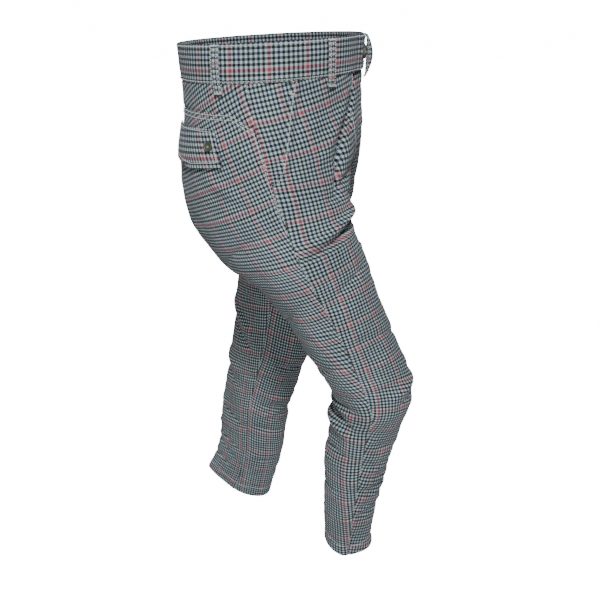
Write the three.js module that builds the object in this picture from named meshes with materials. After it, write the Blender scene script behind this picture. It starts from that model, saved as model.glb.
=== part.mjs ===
// A pair of checked, jeans-cut trousers, hollow and worn, in a walking pose: the right leg is
// forward with a bent knee, the left leg is back. Millimetres, +Z up, the front faces -Y and the
// wearer's right side is at -X. The origin is the middle of the waist opening, level with its top edge.
// Every cloth piece is a thin wall on one shared garment surface, cut along its own seams.
import * as THREE from "three";
import { mergeVertices } from "three/addons/utils/BufferGeometryUtils.js";


// Driving sizes
const CLOTH = 1.6; // one layer of cloth
const FOLDED = 2.6; // turned cloth: waistband, hem, flap
const SEAM_GAP = 0.3; // between pieces that are sewn together
const BAND_HEIGHT = 45;
const HEM_DEPTH = 22;
const CROTCH = 268; // down from the waist to the crotch point
const RIGHT = -1;
const LEFT = 1;
const FRONT = -1;
const BACK = 1;

// Sections of each leg, from the waist to the hem. down: distance below the waist along the cloth.
// y, z: the middle of the section. tilt: degrees that the thigh or shin leans forward.
// front, back: half depths. x: leg middle to body middle. outer, inner: half widths.
// ridge: 0 is an ellipse, 1 is a lens with its edges at the sides. pinch: narrowing to the back.
// seam: how far the side seam lies in front of the outermost point.
const COLUMNS = ["down", "y", "z", "tilt", "front", "back", "x", "outer", "inner", "ridge", "pinch", "seam"];
const RIGHT_SECTIONS = [
  [0, -6, 0, 0, 126, 126, 0, 140, 140, 0, 0, 8],
  [45, -5, -45, 0, 124, 123, 0, 147, 147, 0, 0, 10],
  [90, -6, -90, 0, 123, 123, 4, 154, 150, 0, 0, 18],
  [135, -4, -135, 1, 126, 127, 20, 152, 130, 0.05, 0, 34],
  [180, -5, -180, 4, 123, 124, 42, 138, 105, 0.1, 0, 46],
  [225, -15, -225, 9, 119, 116, 68, 116, 88, 0.15, 0, 50],
  [268, -38, -266, 15, 104, 96, 86, 100, 86, 0.2, 0, 40],
  [314, -66, -303, 20, 86, 72, 91, 94, 84, 0.3, 0, 30],
  [402, -102, -382, 24, 75, 56, 90, 84, 78, 0.4, 0, 28],
  [468, -129, -442, 20, 71, 59, 86, 76, 72, 0.4, 0, 20],
  [541, -158, -508, 7, 63, 56, 82, 68, 66, 0.35, 0, 10],
  [594, -149, -560, -6, 56, 56, 79, 62, 61, 0.35, 0, 10],
  [686, -132, -650, -9, 51, 55, 75, 56, 54, 0.4, 0, 13],
  [777, -120, -740, -6, 45, 47, 71, 51, 48, 0.45, 0, 14],
  [847, -113, -810, -5, 43, 43, 67, 47, 44, 0.5, 0, 12],
  [875, -111, -838, -5, 43, 42, 65, 46, 42, 0.5, 0, 11],
];
const LEFT_SECTIONS = [
  [0, -6, 0, 0, 126, 126, 0, 140, 140, 0, 0, 8],
  [45, -5, -45, 0, 124, 123, 0, 147, 147, 0, 0, 10],
  [90, -6, -90, 0, 121, 123, 4, 154, 150, 0, 0, 18],
  [135, -3, -135, 0, 121, 127, 20, 152, 130, 0.05, 0, 28],
  [180, 1, -180, -1, 115, 126, 42, 138, 105, 0.1, 0, 32],
  [225, 5, -225, -3, 107, 118, 68, 114, 88, 0.15, 0, 32],
  [268, 8, -268, -5, 97, 106, 86, 98, 86, 0.15, 0, 28],
  [310, 11, -310, -7, 90, 96, 90, 92, 84, 0.2, 0, 24],
  [381, 20, -380, -10, 84, 86, 90, 84, 78, 0.25, 0, 20],
  [453, 36, -450, -13, 80, 79, 88, 77, 72, 0.3, 0, 18],
  [532, 55, -526, -14, 76, 75, 86, 71, 67, 0.3, 0.05, 16],
  [581, 69, -573, -15, 70, 71, 85, 66, 62, 0.3, 0.08, 15],
  [682, 97, -670, -14, 67, 68, 85, 55, 52, 0.3, 0.15, 14],
  [784, 115, -771, -12, 66, 69, 85, 47, 44, 0.35, 0.25, 12],
  [843, 132, -827, -15, 66, 69, 85, 42, 40, 0.4, 0.35, 10],
  [896, 150, -877, -19, 68, 74, 85, 38, 37, 0.4, 0.45, 8],
];
const sectionsOf = (side) => (side === RIGHT ? RIGHT_SECTIONS : LEFT_SECTIONS);
const hemOf = (side) => sectionsOf(side).at(-1)[0];

// The largest folds: side, face, where each starts and ends as [share of the panel's width from the
// side seam, down in mm], half width in mm, height in mm (below 0 is a trough).
const FOLDS = [
  { side: RIGHT, face: FRONT, from: [0.0, 258], to: [0.62, 222], half: 10, height: 5 },
  { side: RIGHT, face: FRONT, from: [0.1, 274], to: [0.72, 240], half: 9, height: -6 },
  { side: RIGHT, face: FRONT, from: [0.35, 205], to: [0.9, 170], half: 12, height: -5 },
  { side: RIGHT, face: FRONT, from: [0.15, 528], to: [0.6, 520], half: 9, height: 4 },
  { side: RIGHT, face: FRONT, from: [0.05, 600], to: [0.5, 640], half: 12, height: -3 },
  { side: RIGHT, face: BACK, from: [0.1, 556], to: [0.9, 520], half: 12, height: 8 },
  { side: RIGHT, face: BACK, from: [0.1, 574], to: [0.85, 560], half: 11, height: -8 },
  { side: RIGHT, face: BACK, from: [0.1, 596], to: [0.8, 590], half: 11, height: 6 },
  { side: RIGHT, face: BACK, from: [0.15, 470], to: [0.8, 500], half: 14, height: -4 },
  { side: RIGHT, face: BACK, from: [0.1, 130], to: [0.55, 250], half: 18, height: -4 },
  { side: LEFT, face: BACK, from: [0.2, 560], to: [0.9, 600], half: 14, height: 5 },
  { side: LEFT, face: BACK, from: [0.2, 590], to: [0.95, 632], half: 12, height: -5 },
  { side: LEFT, face: FRONT, from: [0.5, 640], to: [1.0, 622], half: 11, height: 5 },
  { side: LEFT, face: FRONT, from: [0.5, 662], to: [1.0, 646], half: 10, height: -4 },
  { side: LEFT, face: BACK, from: [0.5, 790], to: [1.0, 820], half: 14, height: -5 },
  { side: LEFT, face: FRONT, from: [0.3, 240], to: [0.8, 200], half: 14, height: -4 },
];

const mix = (a, b, t) => a + (b - a) * t;
const clamp = (t, lo, hi) => Math.min(hi, Math.max(lo, t));
const smooth = (t) => {
  const c = clamp(t, 0, 1);
  return c * c * (3 - 2 * c);
};

// Smooth curve through a table's rows: the value of every column at one distance down.
function sectionAt(side, down) {
  const rows = sectionsOf(side);
  let k = rows.findIndex((row) => row[0] >= down);
  k = k < 0 ? rows.length - 1 : Math.max(1, k);
  const [p, a, b, q] = [rows[Math.max(0, k - 2)], rows[k - 1], rows[k], rows[Math.min(rows.length - 1, k + 1)]];
  const span = b[0] - a[0];
  const t = (down - a[0]) / span;
  const values = {};
  COLUMNS.forEach((name, c) => {
    const slopeA = p === a ? (b[c] - a[c]) / span : (b[c] - p[c]) / (b[0] - p[0]);
    const slopeB = q === b ? (b[c] - a[c]) / span : (q[c] - a[c]) / (q[0] - a[0]);
    const t2 = t * t;
    const t3 = t2 * t;
    values[name] =
      (2 * t3 - 3 * t2 + 1) * a[c] +
      (t3 - 2 * t2 + t) * span * slopeA +
      (3 * t2 - 2 * t3) * b[c] +
      (t3 - t2) * span * slopeB;
  });
  return values;
}

// One point of a leg's section before the two legs are joined. turn runs from 0 at the side seam
// to half a circle at the inseam.
function tubePoint(side, face, section, turn) {
  const half = Math.cos(turn) > 0 ? section.outer : section.inner;
  const rise = Math.sin(turn);
  const depth = (face === FRONT ? section.front : section.back) * mix(rise, rise * rise, section.ridge);
  const share = (face * depth) / section.back;
  const across = section.x + half * Math.cos(turn) * (1 - section.pinch * share);
  const lean = THREE.MathUtils.degToRad(section.tilt);
  return new THREE.Vector3(
    side * across,
    section.y + face * depth * Math.cos(lean),
    section.z - face * depth * Math.sin(lean),
  );
}

// The turn at which a section ends: on the body's middle plane above the crotch, else at the inseam.
function lastTurn(section, down) {
  return down >= CROTCH ? Math.PI : Math.acos(clamp(-section.x / section.inner, -1, 1));
}

// The seam down the middle of the front or the back, which both legs share above the crotch.
function middleSeam(face, down) {
  const ends = [RIGHT, LEFT].map((side) => {
    const section = sectionAt(side, down);
    return tubePoint(side, face, section, lastTurn(section, down));
  });
  return new THREE.Vector3(0, (ends[0].y + ends[1].y) / 2, (ends[0].z + ends[1].z) / 2);
}

// A whole row of one panel at one level, as a polyline with its running length.
const ROW_STEPS = 40;
const JOIN_FADE = 70; // below the crotch, the pull towards the shared seam dies out over this
const rowStore = new Map();
function row(side, face, down) {
  const key = `${side} ${face} ${down.toFixed(3)}`;
  if (rowStore.has(key)) return rowStore.get(key);
  const section = sectionAt(side, down);
  const end = lastTurn(section, down);
  const atCrotch = Math.min(down, CROTCH);
  const joint = sectionAt(side, atCrotch);
  const free = tubePoint(side, face, joint, lastTurn(joint, atCrotch));
  const pull = middleSeam(face, atCrotch).sub(free);
  pull.x = down < CROTCH ? -free.x : 0;
  pull.multiplyScalar(1 - smooth((down - CROTCH) / JOIN_FADE));
  const points = [];
  const lengths = [0];
  for (let i = 0; i <= ROW_STEPS; i++) {
    const share = i / ROW_STEPS;
    const point = tubePoint(side, face, section, end * share);
    point.addScaledVector(pull, smooth((share - 0.3) / 0.7));
    points.push(point);
    if (i) lengths.push(lengths[i - 1] + point.distanceTo(points[i - 1]));
  }
  const made = { points, lengths, length: lengths[ROW_STEPS] };
  rowStore.set(key, made);
  return made;
}

// A point at a distance from the side seam: negative towards the front, positive towards the back.
// Past a panel's inner edge it goes on over the neighbouring panel.
function along(side, down, distance) {
  const face = distance < 0 ? FRONT : BACK;
  const line = row(side, face, down);
  const reach = Math.abs(distance);
  if (reach > line.length) {
    if (down >= CROTCH) {
      const other = row(side, -face, down).length;
      return along(side, down, -face * (other - (reach - line.length)));
    }
    const mirrored = along(side, down, face * (2 * line.length - reach));
    mirrored.x = -mirrored.x;
    return mirrored;
  }
  const k = clamp(line.lengths.findIndex((length) => length >= reach), 1, ROW_STEPS);
  const t = (reach - line.lengths[k - 1]) / (line.lengths[k] - line.lengths[k - 1]);
  return line.points[k - 1].clone().lerp(line.points[k], t);
}

const FEEL = 3; // how far to each side a direction is felt
function directionsAt(side, down, distance) {
  const face = distance < 0 ? FRONT : BACK;
  const share = Math.abs(distance) / row(side, face, down).length;
  const level = (at) => along(side, at, face * share * row(side, face, at).length);
  const around = along(side, down, distance + FEEL).sub(along(side, down, distance - FEEL)).normalize();
  const fall = level(Math.min(down + FEEL, hemOf(side))).sub(level(Math.max(down - FEEL, 0)));
  const outward = around.clone().cross(fall).normalize().multiplyScalar(-side);
  return { around, outward };
}

// How far the folds lift a point of the cloth off the plain surface.
function foldHeight(side, face, share, down, width) {
  let height = 0;
  for (const fold of FOLDS) {
    if (fold.side !== side || fold.face !== face) continue;
    const from = [fold.from[0] * width, fold.from[1]];
    const run = [fold.to[0] * width - from[0], fold.to[1] - from[1]];
    const offset = [share * width - from[0], down - from[1]];
    const t = (offset[0] * run[0] + offset[1] * run[1]) / (run[0] ** 2 + run[1] ** 2);
    if (t <= 0 || t >= 1) continue;
    const off = Math.hypot(offset[0] - t * run[0], offset[1] - t * run[1]);
    const fade = Math.sin(Math.PI * t) ** 0.7 * Math.sin(Math.PI * clamp(share, 0, 1)) ** 0.4;
    height += fold.height * fade * Math.exp(-2 * (off / fold.half) ** 2);
  }
  return height;
}

const seamAt = (side, down) => sectionAt(side, down).seam;
// Width of a panel from the side seam to the middle seam or inseam.
function panelWidth(side, face, down) {
  return row(side, face, down).length + face * seamAt(side, down);
}

// A point of the garment: reach is the distance from the side seam, out is a move out of the cloth.
// A point on a panel's long edge keeps half a seam gap away from the seam.
function clothPoint(side, face, reach, down, out) {
  const width = panelWidth(side, face, down);
  const start = -seamAt(side, down);
  let nudge = 0;
  let at = reach;
  if (Math.abs(reach) < SEAM_GAP) [at, nudge] = [0, SEAM_GAP / 2];
  if (Math.abs(reach - width) < SEAM_GAP) [at, nudge] = [width, -SEAM_GAP / 2];
  const distance = start + face * at;
  const { around, outward } = directionsAt(side, down, distance);
  const height = at < width ? foldHeight(side, face, at / width, down, width) : 0;
  const point = along(side, down, distance);
  return point.addScaledVector(around, face * nudge).addScaledVector(outward, out + height);
}

// A closed wall from a grid of outer and inner points. at(i, j, layer) gives a point, with layer 1
// outside and 0 inside. A ring has its last column joined to its first.
function wall(columns, rows, at, ring = false) {
  const positions = [];
  const index = [];
  const id = (i, j, layer) => ((ring ? i % columns : i) * (rows + 1) + j) * 2 + layer;
  const last = ring ? columns - 1 : columns;
  for (let i = 0; i <= last; i++)
    for (let j = 0; j <= rows; j++) for (const layer of [0, 1]) positions.push(...at(i, j, layer).toArray());
  const quad = (a, b, c, d) => index.push(a, b, c, a, c, d);
  for (let i = 0; i < columns; i++)
    for (let j = 0; j < rows; j++) {
      quad(id(i, j, 1), id(i, j + 1, 1), id(i + 1, j + 1, 1), id(i + 1, j, 1));
      quad(id(i, j, 0), id(i + 1, j, 0), id(i + 1, j + 1, 0), id(i, j + 1, 0));
    }
  for (let i = 0; i < columns; i++) {
    quad(id(i, 0, 0), id(i, 0, 1), id(i + 1, 0, 1), id(i + 1, 0, 0));
    quad(id(i, rows, 1), id(i, rows, 0), id(i + 1, rows, 0), id(i + 1, rows, 1));
  }
  for (let j = 0; j < rows && !ring; j++) {
    quad(id(0, j, 0), id(0, j + 1, 0), id(0, j + 1, 1), id(0, j, 1));
    quad(id(columns, j, 1), id(columns, j + 1, 1), id(columns, j + 1, 0), id(columns, j, 0));
  }
  const geometry = new THREE.BufferGeometry();
  geometry.setAttribute("position", new THREE.Float32BufferAttribute(positions, 3));
  geometry.setIndex(index);
  if (volumeOf(geometry) < 0) {
    for (let k = 0; k < index.length; k += 3) [index[k], index[k + 1]] = [index[k + 1], index[k]];
    geometry.setIndex(index);
  }
  return geometry;
}

function volumeOf(geometry) {
  const p = geometry.getAttribute("position");
  const n = geometry.index.array;
  const corner = (k) => new THREE.Vector3().fromBufferAttribute(p, n[k]);
  let sum = 0;
  for (let k = 0; k < n.length; k += 3) sum += corner(k).dot(corner(k + 1).cross(corner(k + 2)));
  return sum / 6;
}

const trousers = new THREE.Group();
function add(name, geometry, material) {
  const mesh = new THREE.Mesh(geometry, material);
  mesh.name = name;
  trousers.add(mesh);
}
const cloth = new THREE.MeshStandardMaterial({ color: 0x6f7775, roughness: 0.9, metalness: 0 });
const buttonMaterial = new THREE.MeshStandardMaterial({ color: 0x3a3a32, roughness: 0.4, metalness: 0 });

// A cloth piece on a panel: at(s, t) gives [reach, down, out] for the piece's own shares of width and
// length, and thickness(s, t) the wall below it.
function piece(name, side, face, columns, rows, at, thickness = () => CLOTH) {
  const point = (i, j, layer) => {
    const [s, t] = [i / columns, j / rows];
    const [reach, down, out = 0] = at(s, t);
    return clothPoint(side, face, reach, down, out - (layer ? 0 : thickness(s, t)));
  };
  add(name, wall(columns, rows, point), cloth);
}

const BAND_EDGE = BAND_HEIGHT + SEAM_GAP;
const sideName = (side) => (side === RIGHT ? "right" : "left");

// The slanted front pocket: its mouth runs from the waistband to the side seam.
const MOUTH_WIDTH = 55; // from the side seam, at the waistband
const MOUTH_FOOT = 168; // down, at the side seam
const MOUTH_CURVE = 0.75;
const FACING_UNDER = 12; // facing that runs on under the mouth
const mouthReach = (down) =>
  MOUTH_WIDTH * clamp((MOUTH_FOOT - down) / (MOUTH_FOOT - BAND_HEIGHT), 0, 1) ** MOUTH_CURVE;

// The fly: the right front laps over the left.
const LAP = 11;
const LAP_LIFT = CLOTH + 0.8;
const FLY_FOOT = 172; // down
const lapAt = (side, down) => (side === RIGHT ? 1 - smooth((down - FLY_FOOT) / 6) : 0);

const FRONT_COLUMNS = 12;
const LEG_ROWS = 46;
const hemWall = (side, down) => (down > hemOf(side) - HEM_DEPTH - 1 ? FOLDED : CLOTH);
// Level of each row of a leg panel, shared by front and back, with the last three in the hem.
function legLevel(side, j) {
  const rows = LEG_ROWS - 3;
  const foldLine = hemOf(side) - HEM_DEPTH;
  if (j <= rows) return mix(BAND_EDGE, foldLine - 2, j / rows);
  return [foldLine, foldLine + HEM_DEPTH / 2, hemOf(side)][j - rows - 1];
}

function frontPanel(side) {
  piece(
    `${sideName(side)}_front`,
    side,
    FRONT,
    FRONT_COLUMNS,
    LEG_ROWS,
    (s, t) => {
      const down = legLevel(side, Math.round(t * LEG_ROWS));
      const width = panelWidth(side, FRONT, down);
      const from = mouthReach(down);
      const lap = lapAt(side, down);
      const near = Math.round(s * FRONT_COLUMNS) - FRONT_COLUMNS;
      const even = mix(from, width, s);
      const lapped = [width + LAP, width - 2, width - 14][-near] ?? mix(from, width - 14, s * FRONT_COLUMNS / 10);
      const strip = side === RIGHT && near >= -1 ? LAP_LIFT * (1 - smooth((down - FLY_FOOT - 14) / 40)) : 0;
      return [mix(even, lapped, lap), down, strip];
    },
    (s, t) => hemWall(side, legLevel(side, Math.round(t * LEG_ROWS))),
  );
}

function pocketFacing(side) {
  piece(`${sideName(side)}_pocket_facing`, side, FRONT, 5, 8, (s, t) => {
    const down = mix(BAND_EDGE, MOUTH_FOOT - 4, t);
    const mouth = mouthReach(down);
    const reach = s * (mouth + FACING_UNDER);
    return [reach, down, -(CLOTH + 0.5) * smooth(reach / mouth / 0.8)];
  });
}

// The yoke's lower seam rises quickly from the side seam and then runs level.
const YOKE_DEPTH = 78;
const YOKE_DROP = 18;
const yokeSeam = (reach) => YOKE_DEPTH + YOKE_DROP * (1 - smooth(reach / 30));

function backPanels(side) {
  const seam = (s) => yokeSeam(s * panelWidth(side, BACK, YOKE_DEPTH));
  piece(`${sideName(side)}_yoke`, side, BACK, 12, 4, (s, t) => {
    const down = mix(BAND_EDGE, seam(s) - SEAM_GAP / 2, t);
    return [s * panelWidth(side, BACK, down), down];
  });
  const rows = LEG_ROWS - 2;
  const level = (s, t) => (t === 0 ? seam(s) + SEAM_GAP / 2 : legLevel(side, Math.round(t * rows) + 2));
  piece(
    `${sideName(side)}_back`,
    side,
    BACK,
    12,
    rows,
    (s, t) => [s * panelWidth(side, BACK, level(s, t)), level(s, t)],
    (s, t) => hemWall(side, level(s, t)),
  );
}

// A buttoned flap over each back pocket, which is set into the panel.
const FLAP = { reach: 55, width: 112, top: 98, side: 42, point: 48, lift: 1.5 };
const FLAP_BUTTON = { reach: 12, above: 22, radius: 6, height: 2.4 };
const UNDER_FLAP = 0.8;
function pocketFlap(side) {
  const outOf = (t) => FOLDED + UNDER_FLAP + FLAP.lift * t;
  piece(
    `${sideName(side)}_back_flap`,
    side,
    BACK,
    8,
    4,
    (s, t) => {
      const down = FLAP.top + t * mix(FLAP.point, FLAP.side, Math.abs(2 * s - 1));
      return [FLAP.reach + s * FLAP.width, down, outOf(t)];
    },
    () => FOLDED,
  );
  const reach = FLAP.reach + FLAP_BUTTON.reach;
  const down = FLAP.top + FLAP.side - FLAP_BUTTON.above;
  const out = outOf(0.6) + SEAM_GAP + 0.3;
  button(`${sideName(side)}_flap_button`, side, BACK, reach, down, out, FLAP_BUTTON);
}

// A round button with a raised rim, standing on the cloth.
const BUTTON_SIDES = 18;
function button(name, side, face, reach, down, out, size) {
  const { radius, height } = size;
  const profile = [
    [0, 0],
    [radius * 0.9, 0],
    [radius, height * 0.3],
    [radius, height * 0.75],
    [radius * 0.88, height],
    [radius * 0.72, height],
    [radius * 0.6, height * 0.7],
    [0, height * 0.7],
  ].map(([x, y]) => new THREE.Vector2(x, y));
  const lathe = new THREE.LatheGeometry(profile, BUTTON_SIDES);
  lathe.deleteAttribute("normal");
  lathe.deleteAttribute("uv");
  const geometry = mergeVertices(lathe, 1e-4);
  const base = clothPoint(side, face, reach, down, out);
  const { outward } = directionsAt(side, down, -seamAt(side, down) + face * reach);
  const turn = new THREE.Quaternion().setFromUnitVectors(new THREE.Vector3(0, 1, 0), outward);
  geometry.applyMatrix4(new THREE.Matrix4().compose(base, turn, new THREE.Vector3(1, 1, 1)));
  dropFlatTriangles(geometry);
  add(name, geometry, buttonMaterial);
}

function dropFlatTriangles(geometry) {
  const old = Array.from(geometry.index.array);
  const kept = [];
  for (let k = 0; k < old.length; k += 3) {
    const [a, b, c] = old.slice(k, k + 3);
    if (a !== b && b !== c && c !== a) kept.push(a, b, c);
  }
  geometry.setIndex(kept);
}

// Distance round the waist from the middle front, over the left side and back to the middle front,
// as the side, face and reach of the panel that it crosses.
function roundWaist(girth, down) {
  const parts = [
    [LEFT, FRONT],
    [LEFT, BACK],
    [RIGHT, BACK],
    [RIGHT, FRONT],
  ];
  let rest = girth;
  for (const [side, face] of parts) {
    const width = panelWidth(side, face, down);
    const last = side === RIGHT && face === FRONT;
    if (rest <= width || last) {
      const inwards = side === LEFT ? face === FRONT : face === BACK;
      return { side, face, reach: inwards ? width - rest : rest };
    }
    rest -= width;
  }
}
const waistGirth = (down) =>
  [LEFT, RIGHT].reduce((sum, side) => sum + panelWidth(side, FRONT, down) + panelWidth(side, BACK, down), 0);

// A point on the waistband's face at a distance round the waist, free of the panels' seams.
function bandPoint(girth, down, out) {
  const { side, face, reach } = roundWaist(girth, down);
  const distance = -seamAt(side, down) + face * reach;
  const { outward } = directionsAt(side, down, distance);
  return along(side, down, distance).addScaledVector(outward, out);
}

// The waistband: one strip whose right end laps over its left end at the middle front.
const BAND_OUT = 0.5;
const BAND_LAP = 12; // to each side of the middle front
const BAND_STEPS = 64;
const BAND_LIFT = FOLDED + 0.4;
add(
  "waistband",
  wall(BAND_STEPS, 4, (i, j, layer) => {
    const down = (j / 4) * BAND_HEIGHT;
    const girth = waistGirth(down);
    const steps = [girth + LAP, girth, girth - BAND_LAP - 2, girth - BAND_LAP - 12];
    const fromEnd = BAND_STEPS - i;
    const at = steps[fromEnd] ?? mix(-BAND_LAP, girth - BAND_LAP - 12, i / (BAND_STEPS - 3));
    const lift = fromEnd < 3 ? BAND_LIFT : 0;
    return bandPoint(at, down, BAND_OUT + lift - (layer ? 0 : FOLDED));
  }),
  cloth,
);

// Belt loops stand on the waistband and run a little below it. at: share of a panel's width from
// the side seam.
const LOOP = { width: 11, length: 58, top: 0.5, thick: 2, near: 0.7 };
const LOOPS = [
  { name: "right_front_loop", side: RIGHT, face: FRONT, at: 0.55, rise: 3.2 },
  { name: "left_front_loop", side: LEFT, face: FRONT, at: 0.84, rise: 8 },
  { name: "right_side_loop", side: RIGHT, face: BACK, at: 0.17, rise: 3.2 },
  { name: "left_side_loop", side: LEFT, face: BACK, at: 0.17, rise: 3.2 },
  { name: "back_loop", side: LEFT, face: BACK, at: 1, rise: 3.6 },
];
const LOOP_ROWS = 10;
for (const loop of LOOPS) {
  const centre = loop.at * panelWidth(loop.side, loop.face, BAND_HEIGHT / 2);
  add(
    loop.name,
    wall(2, LOOP_ROWS, (i, j, layer) => {
      const t = j / LOOP_ROWS;
      const down = LOOP.top + t * LOOP.length;
      const reach = centre + (i / 2 - 0.5) * LOOP.width;
      const distance = -seamAt(loop.side, down) + loop.face * reach;
      const { outward } = directionsAt(loop.side, down, distance);
      const stand = LOOP.near + loop.rise * Math.sin(Math.PI * t) ** 0.5;
      const out = BAND_OUT + LOOP.thick + stand - (layer ? 0 : LOOP.thick);
      return along(loop.side, down, distance).addScaledVector(outward, out);
    }),
    cloth,
  );
}

for (const side of [RIGHT, LEFT]) {
  frontPanel(side);
  pocketFacing(side);
  backPanels(side);
  pocketFlap(side);
}

const WAIST_BUTTON = { radius: 8.5, height: 3 };
const buttonDown = BAND_HEIGHT / 2;
const middleFront = panelWidth(RIGHT, FRONT, buttonDown);
const bandFace = BAND_OUT + BAND_LIFT + SEAM_GAP + 0.5;
button("waist_button", RIGHT, FRONT, middleFront - 1, buttonDown, bandFace, WAIST_BUTTON);

export default trousers;
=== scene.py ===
"""Checked jeans-cut trousers, worn and walking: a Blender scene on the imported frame.

Every cloth piece is a shell on one shared garment surface, worked out from the section tables below,
with the check laid on it along its own grain. Lengths in the tables are millimetres.
"""

import functools
import math

import bpy
import numpy as np
from mathutils import Matrix, Vector, noise


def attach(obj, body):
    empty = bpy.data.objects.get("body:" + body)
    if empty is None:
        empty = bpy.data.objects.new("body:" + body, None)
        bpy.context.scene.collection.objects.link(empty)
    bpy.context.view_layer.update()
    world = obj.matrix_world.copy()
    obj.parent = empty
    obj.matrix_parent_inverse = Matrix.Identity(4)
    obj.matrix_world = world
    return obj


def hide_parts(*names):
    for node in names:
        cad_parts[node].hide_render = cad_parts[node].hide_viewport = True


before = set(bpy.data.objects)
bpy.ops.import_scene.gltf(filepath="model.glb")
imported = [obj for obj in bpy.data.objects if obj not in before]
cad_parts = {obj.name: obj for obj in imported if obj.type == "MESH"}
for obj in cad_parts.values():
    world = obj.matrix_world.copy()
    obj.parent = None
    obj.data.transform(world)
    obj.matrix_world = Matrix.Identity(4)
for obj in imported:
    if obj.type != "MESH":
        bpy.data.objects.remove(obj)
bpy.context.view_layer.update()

bl_info = {
    "name": "Checked Trousers",
    "version": (1, 0, 0),
    "blender": (4, 5, 0),
    "location": "3D View > Sidebar > Trousers",
    "description": "Builds worn, checked cotton trousers piece by piece",
    "category": "Add Mesh",
}

MM = 0.001
CLOTH = 1.6  # one layer of cloth
FOLDED = 2.6  # turned cloth: waistband, hem, flap
SEAM_GAP = 0.06
SEAM_LAP = 0.12  # sewn edges press into each other
BAND_HEIGHT = 45
HEM_DEPTH = 22
CROTCH = 268  # down from the waist to the crotch point
RIGHT, LEFT = -1, 1
FRONT, BACK = -1, 1
SIDE_NAME = {RIGHT: "right", LEFT: "left"}

# Sections of each leg from the waist to the hem. down: distance below the waist along the cloth.
# y, z: the section's middle. tilt: degrees that the thigh or shin leans forward. front, back: half
# depths. x: leg middle to body middle. outer, inner: half widths. ridge: 0 is an ellipse, 1 a lens.
# pinch: narrowing to the back. seam: how far the side seam lies in front of the outermost point.
COLUMNS = ("down", "y", "z", "tilt", "front", "back", "x", "outer", "inner", "ridge", "pinch", "seam")
SECTIONS = {
    RIGHT: (
        (0, -6, 0, 0, 126, 126, 0, 140, 140, 0, 0, 8),
        (45, -5, -45, 0, 124, 123, 0, 147, 147, 0, 0, 10),
        (90, -6, -90, 0, 123, 123, 4, 154, 150, 0, 0, 18),
        (135, -4, -135, 1, 126, 127, 20, 152, 130, 0.05, 0, 34),
        (180, -5, -180, 4, 123, 124, 42, 138, 105, 0.1, 0, 46),
        (225, -15, -225, 9, 119, 116, 68, 116, 88, 0.15, 0, 50),
        (268, -38, -266, 15, 104, 96, 86, 100, 86, 0.2, 0, 40),
        (314, -66, -303, 20, 86, 72, 91, 94, 84, 0.3, 0, 30),
        (402, -102, -382, 24, 75, 56, 90, 84, 78, 0.4, 0, 28),
        (468, -129, -442, 20, 71, 59, 86, 76, 72, 0.4, 0, 20),
        (541, -158, -508, 7, 63, 56, 82, 68, 66, 0.35, 0, 10),
        (594, -149, -560, -6, 56, 56, 79, 62, 61, 0.35, 0, 10),
        (686, -132, -650, -9, 51, 55, 75, 56, 54, 0.4, 0, 13),
        (777, -120, -740, -6, 45, 47, 71, 51, 48, 0.45, 0, 14),
        (847, -113, -810, -5, 43, 43, 67, 47, 44, 0.5, 0, 12),
        (875, -111, -838, -5, 43, 42, 65, 46, 42, 0.5, 0, 11),
    ),
    LEFT: (
        (0, -6, 0, 0, 126, 126, 0, 140, 140, 0, 0, 8),
        (45, -5, -45, 0, 124, 123, 0, 147, 147, 0, 0, 10),
        (90, -6, -90, 0, 121, 123, 4, 154, 150, 0, 0, 18),
        (135, -3, -135, 0, 121, 127, 20, 152, 130, 0.05, 0, 28),
        (180, 1, -180, -1, 115, 126, 42, 138, 105, 0.1, 0, 32),
        (225, 5, -225, -3, 107, 118, 68, 114, 88, 0.15, 0, 32),
        (268, 8, -268, -5, 97, 106, 86, 98, 86, 0.15, 0, 28),
        (310, 11, -310, -7, 90, 96, 90, 92, 84, 0.2, 0, 24),
        (381, 20, -380, -10, 84, 86, 90, 84, 78, 0.25, 0, 20),
        (453, 36, -450, -13, 80, 79, 88, 77, 72, 0.3, 0, 18),
        (532, 55, -526, -14, 76, 75, 86, 71, 67, 0.3, 0.05, 16),
        (581, 69, -573, -15, 70, 71, 85, 66, 62, 0.3, 0.08, 15),
        (682, 97, -670, -14, 67, 68, 85, 55, 52, 0.3, 0.15, 14),
        (784, 115, -771, -12, 66, 69, 85, 47, 44, 0.35, 0.25, 12),
        (843, 132, -827, -15, 66, 69, 85, 42, 40, 0.4, 0.35, 10),
        (896, 150, -877, -19, 68, 74, 85, 38, 37, 0.4, 0.45, 8),
    ),
}

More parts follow.
